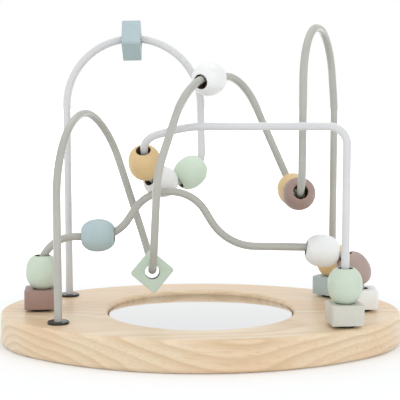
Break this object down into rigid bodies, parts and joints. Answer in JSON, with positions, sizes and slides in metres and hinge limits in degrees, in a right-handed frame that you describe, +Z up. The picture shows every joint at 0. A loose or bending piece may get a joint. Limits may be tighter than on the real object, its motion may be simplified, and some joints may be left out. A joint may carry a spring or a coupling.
{
  "type": "bead maze",
  "caption": "Wooden bead maze: an oval board with a round mirror carries bent coated wires on which round beads and square blocks slide and turn.",
  "frame": {"origin": "centre of the board's underside, on the surface that the toy stands on", "axes": "+Z up, +X along the board to the right as seen from the front, -Y towards the front"},
  "size_m": [0.26, 0.178, 0.2088],
  "materials": {
    "pine": "clear matt varnish on pale pine",
    "pad": "white foam adhesive pad",
    "mirror": "polished acrylic mirror",
    "white_coat": "satin white plastic coat on steel wire",
    "grey_coat": "satin warm grey plastic coat on steel wire",
    "black_collar": "gloss black",
    "steel": "zinc plated",
    "mint_paint": "satin water-based paint on wood",
    "white_paint": "satin water-based paint on wood",
    "natural_wood": "clear varnish on yellow wood",
    "brown_paint": "satin water-based paint on wood",
    "blue_paint": "satin water-based paint on wood",
    "sage_paint": "satin water-based paint on wood"
  },
  "bodies": {
    "frame": {"base_board": "pine", "mirror_pad": "pad", "mirror_disc": "mirror", "white_wire": "white_coat", "tall_wire": "grey_coat", "low_wire": "grey_coat", "foot_collars": "black_collar", "anchor_washers": "steel", "anchor_nuts": "steel"},
    "arch_block": {"arch_block": "blue_paint"},
    "valley_bead_mint": {"valley_bead_mint": "mint_paint"},
    "valley_bead_white": {"valley_bead_white": "white_paint"},
    "valley_bead_yellow": {"valley_bead_yellow": "natural_wood"},
    "front_block": {"front_block": "sage_paint"},
    "front_bead": {"front_bead": "mint_paint"},
    "swing_block": {"swing_block": "mint_paint"},
    "crest_bead": {"crest_bead": "white_paint"},
    "dip_bead_yellow": {"dip_bead_yellow": "natural_wood"},
    "dip_bead_brown": {"dip_bead_brown": "brown_paint"},
    "rear_block": {"rear_block": "blue_paint"},
    "rear_bead": {"rear_bead": "natural_wood"},
    "left_block": {"left_block": "brown_paint"},
    "left_bead": {"left_bead": "mint_paint"},
    "shelf_bead": {"shelf_bead": "blue_paint"},
    "curve_bead_white": {"curve_bead_white": "white_paint"},
    "curve_bead_brown": {"curve_bead_brown": "brown_paint"},
    "right_block": {"right_block": "white_paint"}
  },
  "joints": [
    {"name": "arch_block_travel", "type": "hinge", "parent": "frame", "child": "arch_block", "pos_m": [-0.04575, 0.042, 0.15125], "axis": [0, 1, 0], "range_deg": [-70, 70]},
    {"name": "valley_bead_mint_travel", "type": "hinge", "parent": "frame", "child": "valley_bead_mint", "pos_m": [-0.0209, 0.02936, 0.12237], "axis": [-0.1955, 0.9261, -0.3225], "range_deg": [-50, 0]},
    {"name": "valley_bead_white_spin", "type": "hinge", "parent": "frame", "child": "valley_bead_white", "pos_m": [-0.02638, 0.01343, 0.10237], "axis": [-0.6652, -0.7019, 0.2545], "continuous": true},
    {"name": "valley_bead_yellow_travel", "type": "slide", "parent": "frame", "child": "valley_bead_yellow", "axis": [-0.0628, -0.6187, 0.7831], "range_m": [0, 0.004]},
    {"name": "front_block_travel", "type": "slide", "parent": "frame", "child": "front_block", "axis": [0, 0, 1], "range_m": [0, 0.04]},
    {"name": "front_bead_travel", "type": "slide", "parent": "front_block", "child": "front_bead", "axis": [0, 0, 1], "range_m": [0, 0.03]},
    {"name": "swing_block_travel", "type": "hinge", "parent": "frame", "child": "swing_block", "pos_m": [-0.03016, -0.00683, 0.07397], "axis": [-0.9971, -0.0612, 0.0446], "range_deg": [-10, 75]},
    {"name": "crest_bead_travel", "type": "hinge", "parent": "frame", "child": "crest_bead", "pos_m": [0.00283, 0.00413, 0.12727], "axis": [-0.8559, 0.5051, 0.1112], "range_deg": [-45, 8]},
    {"name": "dip_bead_yellow_travel", "type": "hinge", "parent": "frame", "child": "dip_bead_yellow", "pos_m": [0.05441, 0.01128, 0.11322], "axis": [-0.9153, -0.0173, -0.4025], "range_deg": [-55, 0]},
    {"name": "dip_bead_brown_travel", "type": "hinge", "parent": "frame", "child": "dip_bead_brown", "pos_m": [0.06315, -0.0015, 0.115], "axis": [-0.9998, -0.0189, 0.0023], "range_deg": [0, 65]},
    {"name": "rear_block_travel", "type": "slide", "parent": "frame", "child": "rear_block", "axis": [0, 0, 1], "range_m": [0, 0.055]},
    {"name": "rear_bead_travel", "type": "slide", "parent": "rear_block", "child": "rear_bead", "axis": [0, 0, 1], "range_m": [0, 0.045]},
    {"name": "left_block_spin", "type": "hinge", "parent": "frame", "child": "left_block", "pos_m": [-0.10425, -0.0035, 0.028], "axis": [0, 0, 1], "continuous": true},
    {"name": "left_bead_travel", "type": "hinge", "parent": "frame", "child": "left_bead", "pos_m": [-0.08135, -0.0035, 0.0451], "axis": [0, 1, 0], "range_deg": [0, 60]},
    {"name": "shelf_bead_travel", "type": "hinge", "parent": "frame", "child": "shelf_bead", "pos_m": [-0.06764, -0.0035, 0.093], "axis": [0, -1, 0], "range_deg": [-6, 50]},
    {"name": "curve_bead_white_travel", "type": "hinge", "parent": "frame", "child": "curve_bead_white", "pos_m": [0.07425, -0.0035, 0.03101], "axis": [0, 1, 0], "range_deg": [-7, 0]},
    {"name": "curve_bead_brown_spin", "type": "hinge", "parent": "frame", "child": "curve_bead_brown", "pos_m": [0.09951, -0.0035, 0.04644], "axis": [0.5213, 0, -0.8534], "continuous": true},
    {"name": "right_block_spin", "type": "hinge", "parent": "frame", "child": "right_block", "pos_m": [0.10425, -0.0035, 0.028], "axis": [0, 0, 1], "continuous": true}
  ]
}
